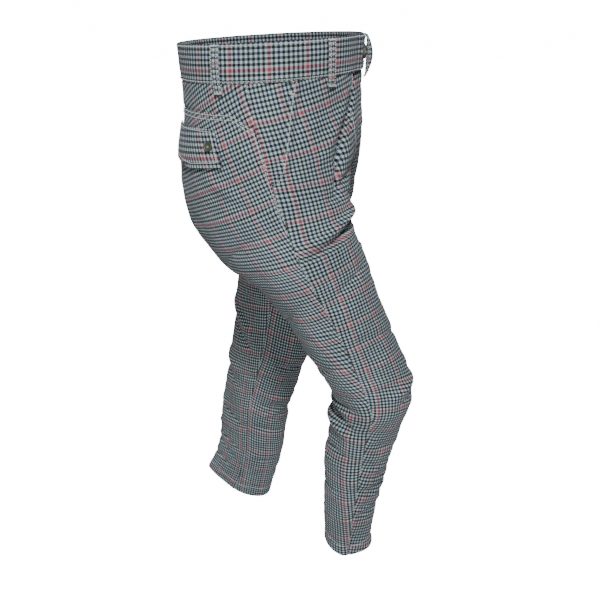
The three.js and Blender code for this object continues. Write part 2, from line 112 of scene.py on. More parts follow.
# Folds and creases of each panel: start and end, each as its share of the panel's width and its level,
# then half width and height, below 0 for a trough.
FOLDS = {
    (RIGHT, FRONT): (
        (0, 264, 0.68, 228, 9, 9), (0, 277, 0.76, 240, 5.5, -14), (0.3, 208, 0.9, 168, 11, -7),
        (0.15, 528, 0.6, 520, 9, 4), (0.05, 600, 0.5, 640, 12, -3), (0.93, 16, 0.76, 128, 8, -11),
        (0.86, 68, 0.5, 160, 10, -16), (0.68, 114, 0.44, 218, 10, -14), (0.8, 60, 0.36, 150, 14, 4.5),
        (0.5, 190, 0.8, 232, 6, -3), (0.62, 196, 0.85, 226, 6, 2.2), (0.45, 292, 0.95, 262, 8, 1.8),
        (0.5, 232, 0.97, 214, 6, -1.6), (0.1, 505, 0.45, 512, 7, -1.5), (0.2, 552, 0.7, 545, 8, -1.3),
        (0.2, 546, 0.75, 533, 6, -5), (0.3, 556, 0.75, 552, 6, 2), (0, 348, 0.45, 328, 8, -4.5),
        (0.3, 300, 0.9, 322, 8, 2), (0.1, 425, 0.7, 466, 10, -4), (0.1, 700, 0.6, 712, 7, -1.8),
        (0.1, 760, 0.7, 752, 6, 1.6),
    ),
    (RIGHT, BACK): (
        (0.1, 556, 0.95, 528, 12, 9), (0.12, 578, 0.95, 552, 8, -18), (0.1, 598, 0.9, 584, 10, 8),
        (0.15, 470, 0.8, 500, 14, -4), (0.1, 130, 0.55, 250, 18, -4), (0.05, 540, 0.4, 532, 6, -1.8),
        (0.1, 620, 0.6, 628, 8, -1.6), (0.2, 300, 0.8, 340, 12, -1.8), (0.1, 398, 0.6, 430, 12, 1.6),
        (0.3, 700, 0.7, 760, 12, -1.2), (0, 215, 0.45, 270, 10, -6), (0.02, 196, 0.35, 150, 11, 4),
        (0.02, 326, 0.5, 385, 10, -5), (0.02, 446, 0.6, 466, 9, -4.5), (0.05, 638, 0.8, 658, 8, -4.5),
        (0.05, 676, 0.7, 668, 8, 2), (0.05, 726, 0.7, 746, 8, -3.6), (0.2, 800, 0.9, 808, 6, -2),
    ),
    (LEFT, FRONT): (
        (0.5, 640, 1, 622, 11, 5), (0.5, 662, 1, 646, 10, -4), (0.3, 240, 0.8, 200, 14, -4),
        (0.5, 562, 1, 546, 8, -5), (0.5, 722, 1, 704, 7, -4.5), (0.55, 786, 1, 778, 6, 2.2),
        (0.5, 804, 1, 794, 6, -4), (0.45, 330, 0.95, 300, 10, -1.8), (0.4, 590, 0.9, 575, 9, -1.5),
        (0.1, 470, 0.5, 520, 12, 1.5),
    ),
    (LEFT, BACK): (
        (0.2, 560, 0.9, 600, 14, 5), (0.2, 590, 0.95, 632, 12, -5), (0.5, 790, 1, 820, 14, -5),
        (0.45, 470, 0.98, 545, 8, -8), (0.5, 446, 0.95, 508, 12, 5), (0.5, 700, 1, 716, 7, -4.5),
        (0.45, 750, 1, 736, 8, 3.4), (0.5, 770, 1, 786, 6, -4.5), (0.45, 836, 1, 848, 6, -3.6),
        (0.3, 340, 0.8, 400, 14, -2), (0.2, 650, 0.7, 690, 10, -1.6), (0.4, 720, 0.95, 740, 9, 1.4),
        (0.15, 150, 0.6, 250, 18, -3),
    ),
}


def smooth(t):
    t = np.clip(t, 0, 1)
    return t * t * (3 - 2 * t)


def mix(a, b, t):
    return a + (b - a) * t


def hem_of(side):
    return SECTIONS[side][-1][0]


@functools.lru_cache(None)
def section_at(side, down):
    """Every column of a leg's table at one level, on a smooth curve through its rows."""
    table = SECTIONS[side]
    k = next((n for n, line in enumerate(table) if n and line[0] >= down), len(table) - 1)
    p, a, b, q = table[max(0, k - 2)], table[k - 1], table[k], table[min(len(table) - 1, k + 1)]
    span = b[0] - a[0]
    t = (down - a[0]) / span
    values = {}
    for c, name in enumerate(COLUMNS):
        slope_a = (b[c] - a[c]) / span if p is a else (b[c] - p[c]) / (b[0] - p[0])
        slope_b = (b[c] - a[c]) / span if q is b else (q[c] - a[c]) / (q[0] - a[0])
        values[name] = (
            (2 * t**3 - 3 * t**2 + 1) * a[c]
            + (t**3 - 2 * t**2 + t) * span * slope_a
            + (3 * t**2 - 2 * t**3) * b[c]
            + (t**3 - t**2) * span * slope_b
        )
    return values


def tube_points(side, face, s, turns):
    """Points of a leg's section; turn 0 is the outermost point and half a circle the inseam."""
    half = np.where(np.cos(turns) > 0, s["outer"], s["inner"])
    rise = np.sin(turns)
    depth = (s["front"] if face == FRONT else s["back"]) * mix(rise, rise * rise, s["ridge"])
    across = s["x"] + half * np.cos(turns) * (1 - s["pinch"] * face * depth / s["back"])
    lean = math.radians(s["tilt"])
    y = s["y"] + face * depth * math.cos(lean)
    z = s["z"] - face * depth * math.sin(lean)
    return np.stack([side * across, y, z], axis=-1)


def last_turn(s, down):
    return math.pi if down >= CROTCH else math.acos(max(-1.0, min(1.0, -s["x"] / s["inner"])))


@functools.lru_cache(None)
def middle_seam(face, down):
    """The seam down the middle of the body, which both legs share above the crotch."""
    ends = []
    for side in (RIGHT, LEFT):
        s = section_at(side, down)
        ends.append(tube_points(side, face, s, np.array([last_turn(s, down)]))[0])
    return np.array([0, (ends[0][1] + ends[1][1]) / 2, (ends[0][2] + ends[1][2]) / 2])


ROW_STEPS = 120
JOIN_FADE = 70


@functools.lru_cache(None)
def panel_row(side, face, down):
    """One level of a panel from the outermost point to the middle, with its running length."""
    s = section_at(side, down)
    at_crotch = min(down, CROTCH)
    joint = section_at(side, at_crotch)
    free = tube_points(side, face, joint, np.array([last_turn(joint, at_crotch)]))[0]
    pull = middle_seam(face, at_crotch) - free
    pull[0] = -free[0] if down < CROTCH else 0
    pull = pull * (1 - smooth((down - CROTCH) / JOIN_FADE))
    share = np.linspace(0, 1, ROW_STEPS + 1)
    points = tube_points(side, face, s, last_turn(s, down) * share)
    points = points + pull * smooth((share - 0.3) / 0.7)[:, None]
    steps = np.linalg.norm(np.diff(points, axis=0), axis=1)
    return points, np.concatenate([[0], np.cumsum(steps)])


def row_length(side, face, down):
    return panel_row(side, face, round(float(down), 4))[1][-1]


OVERRUN = 40  # how far a row goes on past each end, over the neighbouring panel


@functools.lru_cache(None)
def whole_row(side, down):
    """A leg's level from front end to back end, with the start of its neighbours at each end."""
    (front, front_run), (back, back_run) = panel_row(side, FRONT, down), panel_row(side, BACK, down)
    points, runs = [front[:0:-1], back], [-front_run[:0:-1], back_run]
    # Above the crotch a neighbour is the other leg's panel, which mirrors this one there.
    ends = ((front, front_run), (back, back_run))
    mirrored = np.array([-1, 1, 1]) if down < CROTCH else 1
    before, before_run = ends[0 if down < CROTCH else 1]
    near = before_run[-1] - before_run < OVERRUN
    points.insert(0, (before * mirrored)[near][:-1])
    runs.insert(0, -front_run[-1] - (before_run[-1] - before_run[near][:-1]))
    after, after_run = ends[1 if down < CROTCH else 0]
    near = after_run[-1] - after_run < OVERRUN
    points.append((after * mirrored)[near][-2::-1])
    runs.append(back_run[-1] + (after_run[-1] - after_run[near][-2::-1]))
    return np.concatenate(points), np.concatenate(runs)


def along(side, down, distance):
    """Points at distances from the outermost point: below 0 towards the front."""
    points, runs = whole_row(side, round(float(down), 4))
    return np.stack([np.interp(distance, runs, points[:, k]) for k in range(3)], axis=-1)


FEEL = 3


def unit(v):
    return v / np.linalg.norm(v, axis=-1, keepdims=True)


def directions(side, down, distance):
    """Round and out of the cloth, as unit vectors."""

    def length(at):
        return np.where(distance < 0, row_length(side, FRONT, at), row_length(side, BACK, at))

    def level(at):
        at = min(max(at, 0), hem_of(side))
        return along(side, at, distance / length(down) * length(at))

    around = unit(along(side, down, distance + FEEL) - along(side, down, distance - FEEL))
    return around, unit(np.cross(around, level(down + FEEL) - level(down - FEEL))) * -side


def seam_at(side, down):
    return section_at(side, round(float(down), 4))["seam"]


def panel_width(side, face, down):
    return row_length(side, face, down) + face * seam_at(side, down)


def fold_height(side, face, share, down, width):
    """How far the folds lift the cloth off the plain surface."""
    height = np.zeros_like(share)
    for start, start_down, end, end_down, half, high in FOLDS[side, face]:
        run_x, run_y = (end - start) * width, end_down - start_down
        dx, dy = (share - start) * width, down - start_down
        t = (dx * run_x + dy * run_y) / (run_x**2 + run_y**2)
        inside = (t > 0) & (t < 1)
        tc = np.clip(t, 0, 1)
        off = np.hypot(dx - tc * run_x, dy - tc * run_y)
        fade = np.sin(np.pi * tc) ** 0.7 * np.sin(np.pi * np.clip(share, 0, 1)) ** 0.4
        # Ridges are round and troughs are sharp.
        profile = np.exp(-2 * (off / half) ** 2) if high > 0 else np.exp(-1.7 * off / half)
        height += np.where(inside, high * fade * profile, 0)
    return height


def cloth_points(side, face, reach, down, out):
    """Points of the garment at distances from the side seam, moved out of the cloth, in mm."""
    reach = np.asarray(reach, float)
    width = panel_width(side, face, down)
    # The sewn edges lie a little over the next panel's.
    starts, ends = np.abs(reach) < 0.05, np.abs(reach - width) < 0.05
    at = np.where(starts, 0.0, np.where(ends, width, reach))
    lap = SEAM_LAP * (ends.astype(float) - starts)
    distance = -seam_at(side, down) + face * at
    around, outward = directions(side, down, distance)
    height = np.where(at < width, fold_height(side, face, at / width, down, width), 0)
    points = along(side, down, distance) + around * (face * lap)[:, None]
    return points + outward * (np.asarray(out) + height)[:, None], outward


BAND_EDGE = BAND_HEIGHT + SEAM_GAP
MOUTH_WIDTH = 55
MOUTH_FOOT = 168
MOUTH_CURVE = 0.75
FACING_UNDER = 12
LAP = 11
LAP_LIFT = CLOTH + 0.8
FLY_FOOT = 172
YOKE_DEPTH = 78
YOKE_DROP = 18
BAND_OUT = 0.5
BAND_LAP = 12
BAND_LIFT = FOLDED + 0.4
FLAP = {"reach": 55, "width": 112, "top": 98, "side": 42, "point": 48, "lift": 1.5}
UNDER_FLAP = 0.8


def mouth_reach(down):
    """Distance of the slanted pocket mouth from the side seam."""
    return MOUTH_WIDTH * np.clip((MOUTH_FOOT - down) / (MOUTH_FOOT - BAND_HEIGHT), 0, 1) ** MOUTH_CURVE


def yoke_seam(reach):
    return YOKE_DEPTH + YOKE_DROP * (1 - smooth(np.asarray(reach) / 30))


def lap_at(side, down):
    return float(1 - smooth((down - FLY_FOOT) / 6)) if side == RIGHT else 0.0


def waist_widths(side, down):
    return [row_length(side, face, down) for face in (FRONT, BACK)]


def waist_girth(down):
    return sum(waist_widths(LEFT, down)) + sum(waist_widths(RIGHT, down))


def band_points(at, down, out):
    """Points on the waistband's face and the way out of it. at: distance from the middle front, over the
    left side and the back to the middle front again."""
    front, back = waist_widths(LEFT, down)
    left = at <= front + back
    distance = np.where(left, at - front, waist_widths(RIGHT, down)[1] - (at - (front + back)))
    near_left = (along(LEFT, down, distance), directions(LEFT, down, distance)[1])
    near_right = (along(RIGHT, down, distance), directions(RIGHT, down, distance)[1])
    points, outward = [np.where(left[:, None], a, b) for a, b in zip(near_left, near_right)]
    return points + outward * np.asarray(out)[:, None], outward


def length_setting(name, description, value):
    return bpy.props.FloatProperty(name=name, description=description, default=value * MM, unit="LENGTH")


def colour_setting(name, value):
    return bpy.props.StringProperty(name=name, description="sRGB hex", default=value)


class CheckedClothSettings(bpy.types.PropertyGroup):
    """The woven check and the cloth's surface."""

    check_size: length_setting("Check size", "One dark and one light stripe", 6)
    thread_pitch: length_setting("Thread pitch", "Distance from yarn to yarn", 0.5)
    light_yarn: colour_setting("Light yarn", "CFDAD3")
    black_yarn: colour_setting("Black yarn", "0A0C0E")
    green_yarn: colour_setting("Green yarn", "0C1918")
    navy_yarn: colour_setting("Navy yarn", "10162B")
    red_yarn: colour_setting("Red yarn", "A84650")
    wrinkle: length_setting("Wrinkle", "Height of the small wrinkles", 2.1)
    pucker: length_setting("Seam pucker", "Height of the pucker beside seams", 1.7)


class SewingSettings(bpy.types.PropertyGroup):
    """Topstitching and buttons."""

    stitch_pitch: length_setting("Stitch pitch", "Distance from stitch to stitch", 3.1)
    stitch_length: length_setting("Stitch length", "Length of thread on the face", 2.7)
    thread_width: length_setting("Thread width", "Width of the topstitch thread", 1.0)
    thread_colour: colour_setting("Thread", "F8F6EE")
    button_colour: colour_setting("Button", "6E6C52")


class StageSettings(bpy.types.PropertyGroup):
    """Floor, light and camera."""

    floor_depth: length_setting("Floor", "Depth of the floor below the waist", 1020)
    key_power: bpy.props.FloatProperty(
        name="Key light", description="Power of the main light", default=46, unit="POWER"
    )
    lamp_colour: colour_setting("Lamp colour", "E6F0FF")
    focal_length: bpy.props.FloatProperty(
        name="Focal length", description="Camera lens", default=37.2, unit="CAMERA"
    )


def cloth_settings():
    return bpy.context.scene.checked_cloth


def check_mm():
    return cloth_settings().check_size / MM


def sewing_settings():
    return bpy.context.scene.sewing


def linear(hex_code):
    """sRGB hex to linear colour with full alpha."""
    parts = [int(hex_code[k : k + 2], 16) / 255 for k in (0, 2, 4)]
    return [c / 12.92 if c <= 0.04045 else ((c + 0.055) / 1.055) ** 2.4 for c in parts] + [1.0]


def set_inputs(node, **given):
    """Sets or links inputs by name or, as i0, by number. A node stands for its first output."""
    for key, value in given.items():
        number = key[0] == "i" and key[1:].isdigit()
        socket = node.inputs[int(key[1:]) if number else key.replace("_", " ")]
        if isinstance(value, bpy.types.Node):
            value = value.outputs[0]
        if isinstance(value, bpy.types.NodeSocket):
            node.id_data.links.new(value, socket)
        else:
            socket.default_value = value


def add_node(tree, kind, **given):
    """A shader node. Lower-case names set the node itself, all others its inputs."""
    made = tree.nodes.new("ShaderNode" + kind)
    for key in [key for key in given if key.islower() and not key[1:].isdigit()]:
        setattr(made, key, given.pop(key))
    set_inputs(made, **given)
    return made


# The yarns of the repeat, eight dark stripes with a light one after each, one of them red.
WARP_ORDER = ("red", "black", "navy", "green", "black", "green", "navy", "black")
WEFT_ORDER = ("red", "black", "green", "navy", "black", "navy", "green", "black")
EYE_GAMMA = 3.4


def checked_cotton(tree, shader):
    """Yarn-dyed cotton, twill-woven: dark and light yarns meet as dark, mid and pale squares, the
    face is matt with a short nap that catches light at grazing angles."""
    s = cloth_settings()
    split = add_node(tree, "SeparateXYZ", Vector=add_node(tree, "UVMap", uv_map="grain"))
    threads_per_check = float(round(s.check_size / s.thread_pitch))
    colours, waves, counts = [], [], []
    for axis, order in (("X", WARP_ORDER), ("Y", WEFT_ORDER)):
        along_axis = split.outputs[axis]
        repeat = add_node(tree, "Math", operation="DIVIDE", i0=along_axis, i1=float(len(order)))
        ramp = add_node(tree, "ValToRGB", Fac=add_node(tree, "Math", operation="FRACT", i0=repeat))
        ramp.color_ramp.interpolation = "CONSTANT"
        stops = ramp.color_ramp.elements
        for k in range(16):
            stop = stops[k] if k < 2 else stops.new(k / 16)
            # The red stripe is a little wider than the dark ones.
            stop.position = (k + 0.3 * (k == 1)) / 16
            yarn = "light" if k % 2 else order[k // 2]
            stop.color = linear(getattr(s, yarn + "_yarn"))
        colours.append(ramp)
        thread = add_node(tree, "Math", operation="MULTIPLY", i0=along_axis, i1=threads_per_check)
        turn = add_node(tree, "Math", operation="MULTIPLY", i0=thread, i1=math.pi)
        wave = add_node(tree, "Math", operation="SINE", i0=turn)
        waves.append(add_node(tree, "Math", operation="ABSOLUTE", i0=wave))
        counts.append(add_node(tree, "Math", operation="FLOOR", i0=thread))
    # A 2/2 twill: each yarn passes over two and under two, one step on in each row.
    total = add_node(tree, "Math", operation="ADD", i0=counts[0], i1=counts[1])
    quarter = add_node(tree, "Math", operation="FLOORED_MODULO", i0=total, i1=4.0)
    warp_up = add_node(tree, "Math", operation="LESS_THAN", i0=quarter, i1=1.5)
    # Light and dark yarns too fine to tell apart look as dark as the mean of what the eye sees, so they
    # are mixed on that scale.
    seen = [add_node(tree, "Gamma", Color=colour, Gamma=1 / EYE_GAMMA) for colour in colours]
    share_up = add_node(tree, "MapRange", Value=warp_up, To_Min=0.3, To_Max=0.7)
    mixed = add_node(tree, "Mix", data_type="RGBA", i0=share_up, i6=seen[1], i7=seen[0])
    woven = add_node(tree, "Gamma", Color=mixed.outputs[2], Gamma=EYE_GAMMA)
    # Dye and wash differences, as slow clouds over the cloth and a finer mottle of the yarns.
    place = add_node(tree, "TexCoord").outputs["Object"]
    cloud = add_node(tree, "TexNoise", Vector=place, Scale=14.0, Detail=4.0, Roughness=0.6)
    mottle = add_node(tree, "TexNoise", Vector=place, Scale=420.0, Detail=2.0)
    both = add_node(tree, "Math", operation="MULTIPLY_ADD", i0=mottle, i1=0.45, i2=cloud)
    shade = add_node(tree, "MapRange", Value=both, From_Min=0.45, From_Max=1.0, To_Min=0.84, To_Max=1.14)
    worn = add_node(tree, "VectorMath", operation="SCALE", i0=woven, Scale=shade)
    # The yarns stand up where they are on top, on cloth that is never quite flat.
    height = add_node(tree, "Mix", data_type="FLOAT", i0=warp_up, i2=waves[1], i3=waves[0])
    rumple = add_node(tree, "TexNoise", Vector=place, Scale=70.0, Detail=3.0, Roughness=0.55)
    uneven = add_node(tree, "Bump", Strength=0.5, Distance=2.2 * MM, Height=rumple)
    bump = add_node(tree, "Bump", Strength=0.35, Distance=0.12 * MM, Height=height, Normal=uneven)
    set_inputs(
        shader, Base_Color=worn, Normal=bump, Roughness=0.88, Specular_IOR_Level=0.3,
        Sheen_Weight=0.12, Sheen_Roughness=0.5,
    )


def spun_polyester(tree, shader):
    """Twisted topstitch thread: off-white, slightly glossy, with fine slanting plies."""
    place = add_node(tree, "TexCoord").outputs["Object"]
    plies = add_node(
        tree, "TexWave", bands_direction="DIAGONAL", Vector=place, Scale=1300.0, Distortion=1.0
    )
    tint = add_node(tree, "TexNoise", Vector=place, Scale=90.0, Detail=2.0)
    thread = linear(sewing_settings().thread_colour)
    colour = add_node(tree, "Mix", data_type="RGBA", i0=tint, i6=linear("E4E0D2"), i7=thread)
    bump = add_node(tree, "Bump", Strength=0.3, Distance=0.05 * MM, Height=plies.outputs["Fac"])
    set_inputs(shader, Base_Color=colour.outputs[2], Normal=bump, Roughness=0.55)


def cast_resin(tree, shader):
    """Polished cast resin of the buttons: dark olive with faint horn-like streaks."""
    place = add_node(tree, "TexCoord").outputs["Object"]
    streak = add_node(tree, "TexNoise", Vector=place, Scale=260.0, Detail=5.0, Distortion=1.6)
    light = linear(sewing_settings().button_colour)
    colour = add_node(tree, "Mix", data_type="RGBA", i0=streak, i6=linear("3A3A2B"), i7=light)
    scuff = add_node(tree, "TexNoise", Vector=place, Scale=900.0, Detail=3.0)
    rough = add_node(tree, "MapRange", Value=scuff, To_Min=0.22, To_Max=0.42)
    set_inputs(shader, Base_Color=colour.outputs[2], Roughness=rough, IOR=1.54)


GROUND_GLOW = 16.0


def painted_floor(tree, shader):
    """Matt wall paint, faintly clouded, lit up to plain white where the camera sees it."""
    place = add_node(tree, "TexCoord").outputs["Object"]
    cloud = add_node(tree, "TexNoise", Vector=place, Scale=1.5, Detail=3.0)
    tone = add_node(tree, "Mix", data_type="RGBA", i0=cloud, i6=linear("8E8E8C"), i7=linear("989896"))
    path = add_node(tree, "LightPath")
    glow = add_node(tree, "Math", operation="MULTIPLY", i0=path.outputs["Is Camera Ray"], i1=GROUND_GLOW)
    white = linear("FFFFFF")
    set_inputs(
        shader, Base_Color=tone.outputs[2], Roughness=0.9, Emission_Color=white, Emission_Strength=glow
    )


MATERIALS = {
    "yarn_dyed_checked_cotton": checked_cotton,
    "spun_polyester_thread": spun_polyester,
    "cast_resin": cast_resin,
    "matt_painted_floor": painted_floor,
}


def material_of(name):
    """The material of this name, made when it is first asked for."""
    found = bpy.data.materials.get(name)
    if not found:
        found = bpy.data.materials.new(name)
        found.use_nodes = True
        MATERIALS[name](found.node_tree, found.node_tree.nodes["Principled BSDF"])
    return found


def deselect_all():
    bpy.ops.object.select_all(action="DESELECT")


def select_only(piece):
    deselect_all()
    piece.select_set(True)
    bpy.context.view_layer.objects.active = piece


def apply_modifiers(piece):
    select_only(piece)
    for modifier in list(piece.modifiers):
        bpy.ops.object.modifier_apply(modifier=modifier.name)


def finish_piece(piece, material, node=None):
    piece.data.materials.clear()
    piece.data.materials.append(material_of(material))
    select_only(piece)
    bpy.ops.object.shade_smooth_by_angle(angle=math.radians(50))
    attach(piece, "root")
    if node:
        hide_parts(node)
    deselect_all()


def cloth_grid(name, columns, rows, place, wall):
    """A cloth shell. place(j) gives one row of points, outward directions and grain, in mm; the wall
    lies inside those points. Grain is the place on the flat cloth, counted in checks."""
    deselect_all()
    bpy.ops.mesh.primitive_grid_add(x_subdivisions=columns, y_subdivisions=rows, size=1)
    piece = bpy.context.active_object
    mesh = piece.data
    piece.name = mesh.name = name
    flat = np.empty(len(mesh.vertices) * 3)
    mesh.vertices.foreach_get("co", flat)
    i, j = np.rint((flat.reshape(-1, 3).T[:2] + 0.5) * [[columns], [rows]]).astype(int)
    points, outward, grain = [np.array(part) for part in zip(*[place(k) for k in range(rows + 1)])]
    points = points * MM
    mesh.vertices.foreach_set("co", points[j, i].ravel())
    corner = np.empty(len(mesh.loops), dtype=int)
    mesh.loops.foreach_get("vertex_index", corner)
    layer = mesh.uv_layers[0]
    layer.name = "grain"
    layer.data.foreach_set("uv", grain[j[corner], i[corner]].ravel())
    mesh.update()
    face = mesh.polygons[len(mesh.polygons) // 2]
    first = face.vertices[0]
    if face.normal.dot(Vector(outward[j[first], i[first]])) < 0:
        mesh.flip_normals()
    solid = piece.modifiers.new("wall", "SOLIDIFY")
    solid.thickness = wall * MM
    solid.offset = -1
    solid.use_even_offset = False
    apply_modifiers(piece)
    return piece, points


def round_rims(piece, width, sharpest=55):
    """Rounds the edges that turn by more than an angle in degrees, as folded cloth and buttons are."""
    bevel = piece.modifiers.new("round edge", "BEVEL")
    bevel.width = width * MM
    bevel.segments = 3
    bevel.limit_method = "ANGLE"
    bevel.angle_limit = math.radians(sharpest)
    apply_modifiers(piece)


def face_outwards():
    """Turns all faces of the piece in edit mode outwards and leaves that mode."""
    bpy.ops.mesh.select_all(action="SELECT")
    bpy.ops.mesh.normals_make_consistent(inside=False)
    bpy.ops.object.mode_set(mode="OBJECT")


def flat_size(points):
    """Width, length and area of the flat cut of a grid of points in metres."""
    widths = np.linalg.norm(np.diff(points, axis=1), axis=2).sum(axis=1)
    lengths = np.linalg.norm(np.diff(points, axis=0), axis=2).sum(axis=0)
    width, length = float(widths.max()), float(lengths.max())
    return (width, length), min(float(widths.mean() * lengths.mean()), width * length)


def add_cloth(name, node, columns, rows, place, wall=CLOTH, rim=0):
    """A cloth piece, cut as it shows and hung from the root. Sizes in mm."""
    piece, points = cloth_grid(name, columns, rows, place, wall)
    if rim:
        round_rims(piece, rim)
    finish_piece(piece, "yarn_dyed_checked_cotton", node)
    flat, area = flat_size(points)


def joined(rows):
    """Rows of points, outward directions and grain, each put together."""
    return tuple(np.concatenate(parts) for parts in zip(*rows))


def small_wrinkles(points, outward, seam_distance):
    """Soft unevenness everywhere and pucker beside the seams, in mm, moved along outward."""
    s = cloth_settings()
    lift = np.empty(len(points))
    for n, point in enumerate(points):
        here = Vector(point * 0.022)
        slow = noise.noise(here) + 0.5 * noise.noise(here * 2.3 + Vector((7, 1, 3)))
        fine = noise.noise(Vector(point * 0.11))
        # Level wrinkles, more of them down the legs.
        level = noise.noise(Vector(point * np.array([0.016, 0.016, 0.07])))
        patch = 0.45 + 1.3 * noise.noise(here * 0.7 + Vector((2, 9, 4)))
        slow += level * patch * (0.6 + 1.2 * smooth((-point[2] - 250) / 150))
        near = math.exp(-seam_distance[n] / 10)
        lift[n] = slow * s.wrinkle / MM * 0.8 + fine * near * s.pucker / MM
        lift[n] *= min(1.0, 0.25 + seam_distance[n] / 6)
    return points + outward * lift[:, None]


# The grain of each panel, each entry a list of (distance below the waist, value). lean and rise: degrees
# that the lengthwise yarns lean forward and the crosswise yarns rise forward, as the cut and the pull
# of the stride turn them. across and down: the check's size on the panel against the waistband's.
# start: the check, across and down, where the line that the grain is measured from meets the waist.
GRAIN = {
    (RIGHT, FRONT): {
        "start": (0.0, -2.3),
        "lean": (
            (45, 23), (75, 26), (95, 33), (115, 31), (147, 20), (186, 12), (216, -7), (245, -22), (256, -2),
            (259, 24), (266, 26), (290, 12), (335, 8), (375, 1), (480, 3), (517, -3), (590, -5),
        ),
        "rise": (
            (45, 10), (82, 9), (130, 7), (176, -3), (222, -4), (266, -4), (314, -3), (360, -13),
            (437, -16), (470, -14), (505, -22), (578, -18), (621, -10), (678, -14),
        ),
        "across": ((45, 0.85), (150, 0.95), (250, 0.98), (320, 0.9), (480, 0.93)),
        "down": (
            (45, 1.05), (105, 1.12), (153, 1.25), (199, 0.8), (244, 0.66), (290, 0.82), (337, 1.02),
            (378, 0.9), (415, 0.84), (450, 0.71), (485, 1.0), (518, 0.94), (560, 0.89), (600, 0.86),
            (650, 1.24),
        ),
    },
    (RIGHT, BACK): {
        "start": (-5.2, -3.2),
        "lean": (
            (45, 18), (78, 34), (170, 34), (200, 17), (222, 13), (245, 9), (267, -2), (288, -13), (330, -14),
            (371, -6), (450, 1), (518, 2), (522, -13), (574, -13), (578, 0), (875, 3),
        ),
        "rise": (
            (45, 27), (105, 23), (150, 20), (194, 17), (235, 8), (274, -3), (315, -4), (353, -6), (394, -15),
            (450, -13), (548, 5), (646, 18), (742, 15),
        ),
        "across": ((45, 0.9), (200, 0.74), (300, 0.7), (400, 0.74), (520, 0.95), (600, 1.0)),
        "down": (
            (45, 0.95), (127, 0.95), (172, 0.92), (215, 0.73), (255, 0.77), (295, 1.17), (334, 0.86),
            (373, 0.62), (420, 1.25), (500, 1.16), (600, 1.04), (700, 0.96),
        ),
    },
    (LEFT, FRONT): {
        "start": (3.65, 2.45),
        "lean": ((45, 3), (268, 0), (430, -5)),
        "rise": ((45, -3), (268, 0), (430, 18), (640, 18), (800, 8)),
        "across": ((45, 0.95), (400, 0.82)),
        "down": ((45, 0.95),),
    },
    (LEFT, BACK): {
        "start": (7.25, 0.05),
        "lean": ((45, 6), (268, 2), (430, 3)),
        "rise": ((45, 9), (268, 0), (430, -18), (640, -18), (800, -8)),
        "across": ((45, 0.95), (400, 0.76)),
        "down": ((45, 0.95),),
    },
}
GRAIN_STEP = 3.0


def grain_value(side, face, name, down):
    return np.interp(down, *zip(*GRAIN[side, face][name]))


def grain_turn(side, face, name, down):
    """The grain's lean or rise at a level, as a tangent."""
    return np.tan(np.radians(grain_value(side, face, name, down)))


def grain_middle(side, face, down):
    """Distance from the side seam of the line that the grain is measured from."""
    level = max(down, CROTCH + 10)
    return panel_width(side, face, level) / 2 + face * (seam_at(side, down) - seam_at(side, level))


@functools.lru_cache(None)
def grain_line(side, face):
    """Levels and the flat place, in checks, of the line that the grain is measured from."""
    downs = np.arange(0, hem_of(side) + 1, GRAIN_STEP)
    line = [
        along(side, d, np.array([-seam_at(side, d) + face * grain_middle(side, face, d)]))[0] for d in downs
    ]
    run = np.linalg.norm(np.diff(line, axis=0), axis=1) / check_mm()
    across = np.cumsum(face * grain_turn(side, face, "lean", downs[:-1]) * run)
    fall = np.cumsum(run / grain_value(side, face, "down", downs[:-1]))
    return downs, np.concatenate([[0], across]), np.concatenate([[0], fall])


def grain_at(side, face, reach, down):
    """Place on the flat cloth, in checks: across and down."""
    downs, line_across, line_fall = grain_line(side, face)
    aside = (np.asarray(reach, float) - grain_middle(side, face, down)) / check_mm()
    across = np.interp(down, downs, line_across) + aside / grain_value(side, face, "across", down)
    fall = np.interp(down, downs, line_fall) - face * grain_turn(side, face, "rise", down) * aside
    return np.stack([across, fall], axis=-1) + np.array(GRAIN[side, face]["start"])


LEG_COLUMNS = 96
LEG_ROWS = 330
YOKE_ROWS = 14
YOKE_SHIFT = (1.0, 2.0)  # checks between the yoke's cut and the back's


def hem_lift(side, down):
    """The turned hem stands out a little and its stitch line sinks in."""
    above = hem_of(side) - down
    stand = 0.5 * float(smooth((HEM_DEPTH - above) / 3))
    return stand - 0.55 * math.exp(-(((above - HEM_DEPTH) / 2.0) ** 2))


def edge_roll(distance):
    """Cloth rolls in where it is sewn to the next piece."""
    return -1.2 * np.exp(-((np.asarray(distance) / 2.0) ** 2))


MOUTH_LIFT = 3.6


def fly_lift(side, reach, width, down):
    fade = 1 - smooth((down - FLY_FOOT - 14) / 40) if side == RIGHT else 0
    return LAP_LIFT * smooth((reach - (width - 14)) / 12) * fade


def panel_face(side, face, reach, down, lift=0.0, sewn_level=False):
    """The worn face of a front or back panel, with its seams, turned edges and small wrinkles."""
    reach = np.asarray(reach, float)
    width = panel_width(side, face, down)
    if face == FRONT:
        start, end = float(mouth_reach(down)), width + LAP * lap_at(side, down)
        edge = np.minimum(np.abs(reach - start), np.abs(end - reach))
        # The pocket mouth is a turned edge that stands off the facing, and is sewn to nothing.
        mouth = smooth((MOUTH_FOOT - 6 - down) / 16)
        out = fly_lift(side, reach, width, down) + edge_roll(down - BAND_EDGE)
        out = out + edge_roll(np.where(mouth > 0, end - reach, edge))
        out = out + MOUTH_LIFT * mouth * (1 - smooth((reach - start - 7) / 9))
    else:
        edge = np.minimum(reach, width - reach)
        out = edge_roll(edge) + (edge_roll(0) if sewn_level else 0)
    out = out + hem_lift(side, down) + lift
    points, outward = cloth_points(side, face, reach, down, out)
    return small_wrinkles(points, outward, np.zeros_like(edge) if sewn_level else edge), outward


